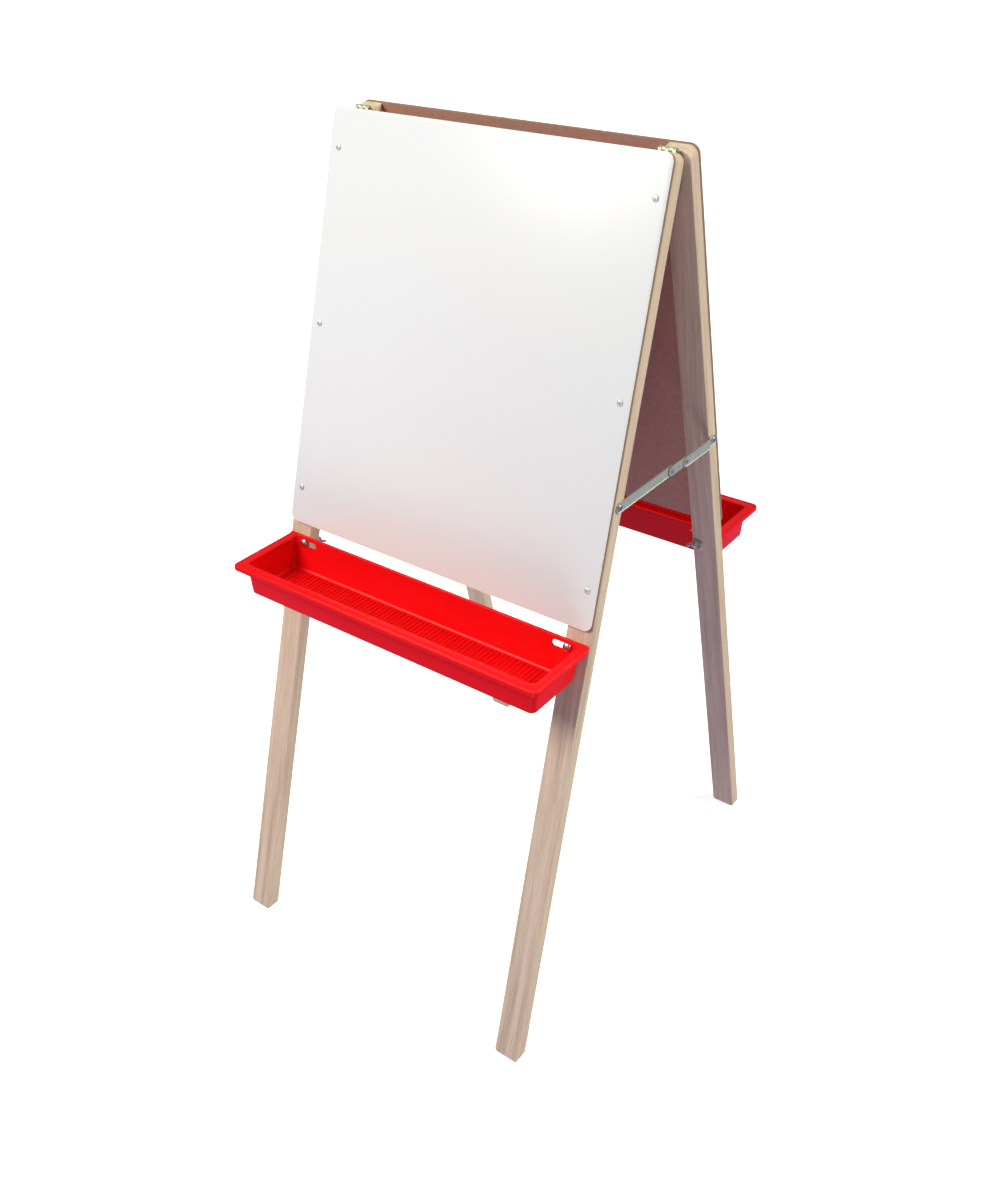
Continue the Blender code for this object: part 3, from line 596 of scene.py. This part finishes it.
def make_screws():
    board = screw_mesh("board_screw", head=0.0044, height=0.0018, shank=0.0017, length=0.0190, material=SATIN)
    hinge = screw_mesh("hinge_screw", head=0.0034, height=0.0012, shank=0.0015, length=0.0125, material=ZINC)
    brace = screw_mesh("brace_screw", head=0.0048, height=0.0024, shank=0.0023, length=0.0180, material=STEEL)
    out = Matrix.Rotation(math.pi / 2, 4, "X")
    inward = Matrix.Rotation(-math.pi / 2, 4, "X")
    twist = 0
    for frame_name in FRAMES:
        space = frame_space(frame_name)
        body = f"{frame_name}_frame"
        for side in SIDES:
            local = local_side(frame_name, side)
            for level_name, level in SCREW_LEVELS.items():
                twist += 1
                node = f"{frame_name}_{side}_board_screw_{level_name}"
                matrix = space @ Matrix.Translation((local * SCREW_X, BOARD_FACE - GAP, level)) @ out
                matrix = matrix @ Matrix.Rotation(SCREW_TWIST * twist, 4, "Z")
                settle(place(f"{node}_cross", board, matrix), body, node)
            for level_name, (level, shift) in HINGE_SCREWS.items():
                twist += 1
                node = f"{side}_hinge_{frame_name}_screw_{level_name}"
                seat = LEAF_BACK + LEAF_THICKNESS + GAP
                matrix = space @ Matrix.Translation((local * (LEAF_X + shift), seat, level)) @ inward
                matrix = matrix @ Matrix.Rotation(SCREW_TWIST * twist, 4, "Z")
                settle(place(f"{node}_cross", hinge, matrix), body, node)
            twist += 1
            node = f"{side}_brace_{frame_name}_screw"
            seat = local * (FRAME_WIDTH / 2 + GAP + BAR_WEB + GAP)
            matrix = space @ Matrix.Translation((seat, LEG_Y, PIVOT_LEVEL))
            matrix = matrix @ Matrix.Rotation(local * math.pi / 2, 4, "Y")
            matrix = matrix @ Matrix.Rotation(BRACE_SCREW_TWIST * twist, 4, "Z")
            settle(place(f"{node}_cross", brace, matrix), body, node)


def tray_ring(half_width, front, recess, level, front_corner, rear_corner, rise=0.0):
    """Level ring of a tray; its back edge follows the leaning legs and is lifted by the rise."""
    rear = back_plane(level) - recess
    outline = rounded_outline(-half_width, half_width, front, rear, front_corner, rear_corner, CORNER_STEPS)
    ring = []
    for x, y in outline:
        share = min(1.0, max(0.0, (y - rear + rear_corner) / rear_corner))
        lift = rise * share
        ring.append((x, y + lift * math.tan(LEAN), level + lift))
    return ring


def shrunk(radius, inset):
    return max(radius - inset, SMALLEST_CORNER)


def outside_rings(turns):
    """Rings of the tray from the middle of its underside, out and up to the outer edge of its rim."""
    under = TRAY_RIM - TRAY_WALL
    lip = TRAY_RIM - LIP_DROP
    lip_half = RIM_HALF_WIDTH - LIP_THICKNESS
    lip_front = RIM_FRONT + LIP_THICKNESS
    rings = []
    for turn in turns:
        inset = FLOOR_FILLET * (1 - math.sin(turn))
        level = TRAY_BOTTOM + FLOOR_FILLET * (1 - math.cos(turn))
        half = BODY_HALF_WIDTH - BODY_DRAFT - inset
        front = BODY_FRONT + BODY_DRAFT + inset
        corners = shrunk(BODY_CORNER, inset), shrunk(REAR_CORNER, inset)
        rings.append(tray_ring(half, front, BODY_RECESS + inset, level, *corners))
    rings.append(tray_ring(BODY_HALF_WIDTH, BODY_FRONT, BODY_RECESS, under, BODY_CORNER, REAR_CORNER))
    for level in (under, lip):
        corners = RIM_CORNER - LIP_THICKNESS, REAR_CORNER
        rings.append(tray_ring(lip_half, lip_front, BODY_RECESS / 2, level, *corners))
    rings.append(tray_ring(RIM_HALF_WIDTH, RIM_FRONT, 0.0, lip, RIM_CORNER, REAR_CORNER))
    for turn in turns:
        out = RIM_ROUND * (1 - math.cos(turn))
        level = TRAY_RIM - RIM_ROUND * (1 - math.sin(turn))
        half = RIM_HALF_WIDTH - out
        corners = RIM_CORNER - out, REAR_CORNER - out
        rings.append(tray_ring(half, RIM_FRONT + out, out / 2, level, *corners, TRAY_BACK_RISE))
    return rings


def flange_rings():
    """The flange's top face: a shallow field between a raised outer edge and a raised inner one."""
    rings = []
    breadth = RIM_HALF_WIDTH - BODY_HALF_WIDTH + TRAY_WALL
    for share, drop in FLANGE_SECTION:
        out = RIM_ROUND + share * (breadth - 2 * RIM_ROUND)
        half = RIM_HALF_WIDTH - out
        front = RIM_FRONT + RIM_ROUND + share * (BODY_FRONT + TRAY_WALL - RIM_FRONT - 2 * RIM_ROUND)
        recess = RIM_ROUND / 2 + share * (BODY_RECESS + TRAY_WALL - RIM_ROUND)
        front_corner = RIM_CORNER + share * (BODY_CORNER - TRAY_WALL - RIM_CORNER)
        rear_corner = REAR_CORNER + share * (INNER_REAR_CORNER - REAR_CORNER)
        corners = front_corner, rear_corner
        rings.append(tray_ring(half, front, recess, TRAY_RIM - drop, *corners, TRAY_BACK_RISE))
    return rings


def inside_rings(turns):
    """Rings of the tray from the inner edge of its rim down its walls to the middle of its floor."""
    inner_half = BODY_HALF_WIDTH - TRAY_WALL
    inner_front = BODY_FRONT + TRAY_WALL
    recess = BODY_RECESS + TRAY_WALL
    corner = BODY_CORNER - TRAY_WALL
    floor = TRAY_BOTTOM + TRAY_WALL
    slope = BODY_DRAFT / (TRAY_RIM - TRAY_WALL - TRAY_BOTTOM)
    rings = []
    for turn in reversed(turns):
        out = RIM_ROUND * (1 - math.cos(turn))
        level = TRAY_RIM - RIM_ROUND * (1 - math.sin(turn))
        corners = corner + out, INNER_REAR_CORNER + out
        half = inner_half + out
        rings.append(tray_ring(half, inner_front - out, recess - out / 2, level, *corners, TRAY_BACK_RISE))
    for turn in reversed(turns):
        inset = FLOOR_FILLET * (1 - math.sin(turn))
        level = floor + FLOOR_FILLET * (1 - math.cos(turn))
        taper = slope * (TRAY_RIM - level) + inset
        corners = shrunk(corner, inset), shrunk(INNER_REAR_CORNER, inset)
        rings.append(tray_ring(inner_half - taper, inner_front + taper, recess + inset, level, *corners))
    return rings


def tray_rings():
    turns = [math.radians(15 * step) for step in range(7)]
    return outside_rings(turns) + flange_rings() + inside_rings(turns)


def stadium(length, height, y_low, y_high):
    """Closed prism with round ends, its length along X and its axis along Y."""
    radius = height / 2
    reach = length / 2 - radius
    outline = arc((reach, 0), radius, -90, 90, 16) + arc((-reach, 0), radius, 90, 270, 16)
    bm = bmesh.new()
    loft(bm, [[(x, y, z) for x, z in outline] for y in (y_low, y_high)])
    return bm


def rib_tool():
    """The floor's ribs, front to back and sunk a little into it, every second one lower and thinner."""
    floor = TRAY_BOTTOM + TRAY_WALL
    low = floor - RIB_SUNK
    front = BODY_FRONT + TRAY_WALL + BODY_DRAFT + FLOOR_FILLET * 0.8
    rear = back_plane(floor) - BODY_RECESS - TRAY_WALL - FLOOR_FILLET * 0.8
    count = int((BODY_HALF_WIDTH - RIB_MARGIN) / RIB_PITCH)
    bm = bmesh.new()
    for index in range(-count, count + 1):
        x = index * RIB_PITCH
        half = RIB_WIDTHS[index % 2] / 2
        high = floor + RIB_HEIGHTS[index % 2]
        shoulder = high - RIB_HEIGHTS[index % 2] * 0.3
        section = [(x - half * 1.3, low), (x + half * 1.3, low), (x + half, shoulder)]
        section += [(x + half * 0.55, high), (x - half * 0.55, high), (x - half, shoulder)]
        loft(bm, [[(across, y, z) for across, z in section] for y in (front, rear)])
    return bm


def tray_mesh():
    bm = bmesh.new()
    loft(bm, tray_rings())
    tray = place("tray_shell", finish_mesh("tray_shell", bm, [PLASTIC]), Matrix.Identity(4))
    ribs = place("tray_ribs", finish_mesh("tray_ribs", rib_tool(), [PLASTIC]), Matrix.Identity(4))
    apply_booleans(tray, [ribs], "UNION")
    slots = []
    for side in (-1, 1):
        slot = stadium(SLOT_LENGTH, SLOT_HEIGHT, *SLOT_CUT)
        matrix = Matrix.Rotation(-LEAN, 4, "X") @ Matrix.Translation((side * SLOT_CENTRE_X, 0, 0))
        slots.append(place(f"slot_{side}", finish_mesh(f"slot_{side}", slot, [PLASTIC]), matrix))
    apply_booleans(tray, slots, "DIFFERENCE")
    return mesh_only(tray, "tray_shell")


def make_trays():
    mesh = tray_mesh()
    upright = Matrix.Translation((0, LEG_FACE - GAP, BOLT_LEVEL)) @ Matrix.Rotation(LEAN, 4, "X")
    for frame_name in FRAMES:
        node = f"{frame_name}_tray"
        tray = place(f"{node}_shell", mesh, frame_space(frame_name) @ upright)
        settle(tray, f"{frame_name}_frame", node)


def bolt_mesh():
    """Round-head bolt: smooth dome above z = 0, plain neck, threaded end."""
    grip = BODY_RECESS + TRAY_WALL + LEG_THICKNESS + WASHER_THICKNESS + NUT_HEIGHT + 5 * GAP
    end = -grip - BOLT_END
    root = BOLT_RADIUS * BOLT_ROOT
    profile = [(BOLT_RADIUS * 0.6, end)]
    level = end + THREAD_PITCH / 2
    while level < end + BOLT_THREADED:
        profile += [(root, level), (BOLT_RADIUS, level + THREAD_PITCH / 2)]
        level += THREAD_PITCH
    profile += [(root, level), (BOLT_RADIUS, level + 0.0006)]
    profile += [(BOLT_RADIUS, 0.0), (BOLT_HEAD_RADIUS * 0.97, 0.0)]
    for turn in range(0, 90, 9):
        angle = math.radians(turn)
        height = GAP + (BOLT_HEAD_HEIGHT - GAP) * math.sin(angle)
        profile.append((BOLT_HEAD_RADIUS * math.cos(angle), height))
    profile.append((BOLT_HEAD_RADIUS * 0.03, BOLT_HEAD_HEIGHT))
    return finish_mesh("carriage_bolt", turned(profile), [NICKEL], 40)


def wing_outline():
    tip = (WING_SPAN - WING_TIP_RADIUS, WING_HEIGHT - WING_TIP_RADIUS)
    top = arc(tip, WING_TIP_RADIUS, -45, 135, 12)
    return [(0.0036, 0.0012), (0.0070, 0.0020)] + top + [(0.0036, 0.0072)]


def bore_profile():
    """Outline of the nut's threaded bore, run past both of its ends."""
    wide = BOLT_RADIUS + BORE_CLEARANCE
    profile = [(wide, -BORE_OVERRUN)]
    level = THREAD_PITCH / 4
    while level < NUT_HEIGHT:
        profile += [(wide, level), (BOLT_RADIUS + BORE_THREAD_CLEARANCE, level + THREAD_PITCH / 2)]
        level += THREAD_PITCH
    profile.append((wide, NUT_HEIGHT + BORE_OVERRUN))
    return profile


def nut_mesh():
    """Cast wing nut: tapered hub, two flared ears with soft edges, threaded bore."""
    profile = [(NUT_BASE_RADIUS, 0.0), (NUT_BASE_RADIUS, NUT_HEIGHT * 0.28)]
    profile += [(NUT_TOP_RADIUS, NUT_HEIGHT * 0.86), (NUT_TOP_RADIUS - NUT_CHAMFER, NUT_HEIGHT)]
    nut = place("nut", finish_mesh("nut", turned(profile), [NICKEL]), Matrix.Identity(4))
    ears = []
    half = WING_THICKNESS / 2
    for side in (-1, 1):
        bm = bmesh.new()
        loft(bm, [[(side * x, y, z) for x, z in wing_outline()] for y in (-half, half)])
        bmesh.ops.recalc_face_normals(bm, faces=bm.faces[:])
        sharp = [edge for edge in bm.edges if edge.calc_face_angle() > math.radians(60)]
        bmesh.ops.bevel(bm, geom=sharp, offset=WING_EDGE, segments=3, profile=0.5, affect="EDGES")
        ears.append(place(f"ear_{side}", finish_mesh(f"ear_{side}", bm, [NICKEL]), Matrix.Identity(4)))
    apply_booleans(nut, ears, "UNION")
    tool = place("bore", finish_mesh("bore", turned(bore_profile()), [NICKEL]), Matrix.Identity(4))
    apply_booleans(nut, [tool], "DIFFERENCE")
    return mesh_only(nut, "wing_nut", 40)


def make_fasteners():
    bolt = bolt_mesh()
    nut = nut_mesh()
    out = Matrix.Rotation(math.pi / 2, 4, "X")
    inward = Matrix.Rotation(-math.pi / 2, 4, "X")
    for frame_name in FRAMES:
        space = frame_space(frame_name)
        for side in SIDES:
            x = local_side(frame_name, side) * BOLT_X
            seat = LEG_FACE - GAP - BODY_RECESS - TRAY_WALL - GAP
            node = f"{frame_name}_{side}_tray_bolt"
            piece = place(f"{node}_domed", bolt, space @ Matrix.Translation((x, seat, BOLT_LEVEL)) @ out)
            settle(piece, f"{frame_name}_frame", node)
            seat = -LEG_SETBACK + GAP + WASHER_THICKNESS + GAP
            node = f"{frame_name}_{side}_wing_nut"
            piece = place(f"{node}_cast", nut, space @ Matrix.Translation((x, seat, BOLT_LEVEL)) @ inward)
            settle(piece, f"{frame_name}_{side}_nut", node)


def dress_node(name, material, edge):
    """Gives a CAD node that stays its material, smooth shading and softly rounded edges."""
    node = frame["nodes"][name]
    node.data.materials.clear()
    node.data.materials.append(material)
    smooth(node.data)
    if edge:
        bevel = node.modifiers.new("soft_edges", "BEVEL")
        bevel.width = edge
        bevel.segments = 2
        bevel.limit_method = "ANGLE"
        bevel.angle_limit = math.radians(40)


def dress_nodes():
    for side in SIDES:
        for part in ("front_arm", "rear_arm", "joint_plate"):
            dress_node(f"{side}_brace_{part}", ZINC, 0.00015)
        for part in ("knee_rivet", "plate_rivet"):
            dress_node(f"{side}_brace_{part}", STEEL, 0.0)
        dress_node(f"{side}_hinge_pin", STEEL, 0.0)
        for frame_name in FRAMES:
            dress_node(f"{side}_hinge_{frame_name}_leaf", ZINC, 0.00015)
            dress_node(f"{frame_name}_{side}_tray_washer", ZINC, 0.0001)


# ---------------------------------------------------------------- stage


KEY_LEVEL = 0.75
KEY_DISTANCE = 6.0
KEY_STRENGTH = 2.6
KEY_SIZE = 2.8
KEY_COLOUR = (1.0, 0.97, 0.91)
FILL_STRENGTH = 0.45
FILL_COLOUR = (1.0, 0.96, 0.94)
SIDE_STRENGTH = 2.8
SIDE_COLOUR = (0.97, 1.0, 0.80)
LIGHT_ABOVE = (0.25, 0.25, 0.27)
LIGHT_BELOW = (0.28, 0.265, 0.52)
HORIZON_BLUR = 0.20
FLOOR_DARK = (0.880, 0.880, 0.880)
FLOOR_PALE = (0.900, 0.900, 0.900)
FLOOR_GLOW = 0.62
FLOOR_DROP = 0.0005
FLOOR_REACH = 20.0
FLOOR_SIDES = 96
WALL_CURVE = 12.0
WALL_RISE = 30.0
CAMERA_PLACE = (0.9766, -1.3458, 1.5450)
CAMERA_AZIMUTH = math.radians(37.27)
CAMERA_ELEVATION = math.radians(27.46)
CAMERA_ROLL = -0.0139


def floor_rings():
    """Level floor, then a quarter round up to an upright wall, all about the easel."""
    rings = []
    for turn in range(0, 91, 10):
        reach = FLOOR_REACH + WALL_CURVE * math.sin(math.radians(turn))
        rise = WALL_CURVE * (1 - math.cos(math.radians(turn)))
        circle = arc((0, 0), reach, 0, 360 - 360 / FLOOR_SIDES, FLOOR_SIDES - 1)
        rings.append([(x, y, rise) for x, y in circle])
    rings.append([(x, y, z + WALL_RISE) for x, y, z in rings[-1]])
    return rings


def make_floor():
    """Wide pale floor and surround; it casts no shadow and throws no light back at the easel."""
    bm = bmesh.new()
    loops = [add_ring(bm, ring) for ring in floor_rings()]
    bm.faces.new(loops[0])
    for ring, other in zip(loops, loops[1:]):
        bridge(bm, ring, other)
    shader = Shader("pale_floor")
    tone = shader.noise(shader.mapped(), 2.0, 2.0)
    colour = shader.mix(tone, FLOOR_DARK, FLOOR_PALE)
    material = shader.surface(Base_Color=colour, Roughness=0.9, Specular_IOR_Level=0.0,
                              Emission_Color=(1.0, 1.0, 1.0), Emission_Strength=FLOOR_GLOW)
    floor = place("floor", finish_mesh("floor", bm, [material]), Matrix.Translation((0, 0, -FLOOR_DROP)))
    floor.visible_shadow = False
    floor.visible_diffuse = False
    floor.visible_glossy = False


def make_world():
    """Pale studio room: even light from above, dimmer and cooler light from below."""
    world = bpy.data.worlds.new("studio")
    world.use_nodes = True
    tree = world.node_tree
    direction = tree.nodes.new("ShaderNodeTexCoord").outputs["Generated"]
    split = tree.nodes.new("ShaderNodeSeparateXYZ")
    tree.links.new(direction, split.inputs[0])
    height = tree.nodes.new("ShaderNodeMapRange")
    tree.links.new(split.outputs["Z"], height.inputs["Value"])
    height.inputs["From Min"].default_value = -HORIZON_BLUR
    height.inputs["From Max"].default_value = HORIZON_BLUR
    blend = tree.nodes.new("ShaderNodeMix")
    blend.data_type = "RGBA"
    tree.links.new(height.outputs[0], blend.inputs[0])
    blend.inputs[6].default_value = (*LIGHT_BELOW, 1.0)
    blend.inputs[7].default_value = (*LIGHT_ABOVE, 1.0)
    tree.links.new(blend.outputs[2], tree.nodes["Background"].inputs["Color"])
    bpy.context.scene.world = world


def away_from(azimuth, elevation):
    """Unit vector towards a lamp; azimuth 0 stands in front of the easel and 90 at its right."""
    turn, rise = math.radians(azimuth), math.radians(elevation)
    return Vector((math.sin(turn) * math.cos(rise), -math.cos(turn) * math.cos(rise), math.sin(rise)))


def add_light(name, kind, direction, location, energy, colour, **settings):
    """Adds a lamp that shines from the direction; the other settings go on the lamp itself."""
    light = bpy.data.lights.new(name, kind)
    light.energy = energy
    light.color = colour
    for key, value in settings.items():
        setattr(light, key, value)
    item = bpy.data.objects.new(name, light)
    bpy.context.scene.collection.objects.link(item)
    item.location = location
    item.rotation_euler = direction.to_track_quat("Z", "Y").to_euler()


def make_lights():
    """A large round key at the front left, a weak fill from low in front and a lamp at the right."""
    key = away_from(-32, 39)
    key_place = Vector((0, 0, KEY_LEVEL)) + key * KEY_DISTANCE
    power = KEY_STRENGTH * math.pi * KEY_DISTANCE ** 2
    add_light("key", "AREA", key, key_place, power, KEY_COLOUR, shape="DISK", size=KEY_SIZE)
    fill = away_from(20, -35)
    add_light("fill", "SUN", fill, (0, 0, 0), FILL_STRENGTH, FILL_COLOUR, angle=math.radians(20))
    side = away_from(115, 35)
    add_light("side", "SUN", side, (0, 0, 0), SIDE_STRENGTH, SIDE_COLOUR, angle=math.radians(30))


def make_camera():
    camera = bpy.data.cameras.new("camera")
    camera.sensor_width = 36.0
    camera.lens = 38.16
    camera.shift_x = 0.01717
    camera.shift_y = -0.08642
    camera.clip_end = 200.0
    item = bpy.data.objects.new("camera", camera)
    bpy.context.scene.collection.objects.link(item)
    matrix = Matrix.Translation(CAMERA_PLACE) @ Matrix.Rotation(CAMERA_AZIMUTH, 4, "Z")
    matrix = matrix @ Matrix.Rotation(math.pi / 2 - CAMERA_ELEVATION, 4, "X")
    item.matrix_world = matrix @ Matrix.Rotation(CAMERA_ROLL, 4, "Z")
    bpy.context.scene.camera = item


make_camera()
make_legs()
make_boards()
make_screws()
make_trays()
make_fasteners()
dress_nodes()
make_floor()
make_world()
make_lights()
bpy.context.scene.view_settings.view_transform = "Standard"
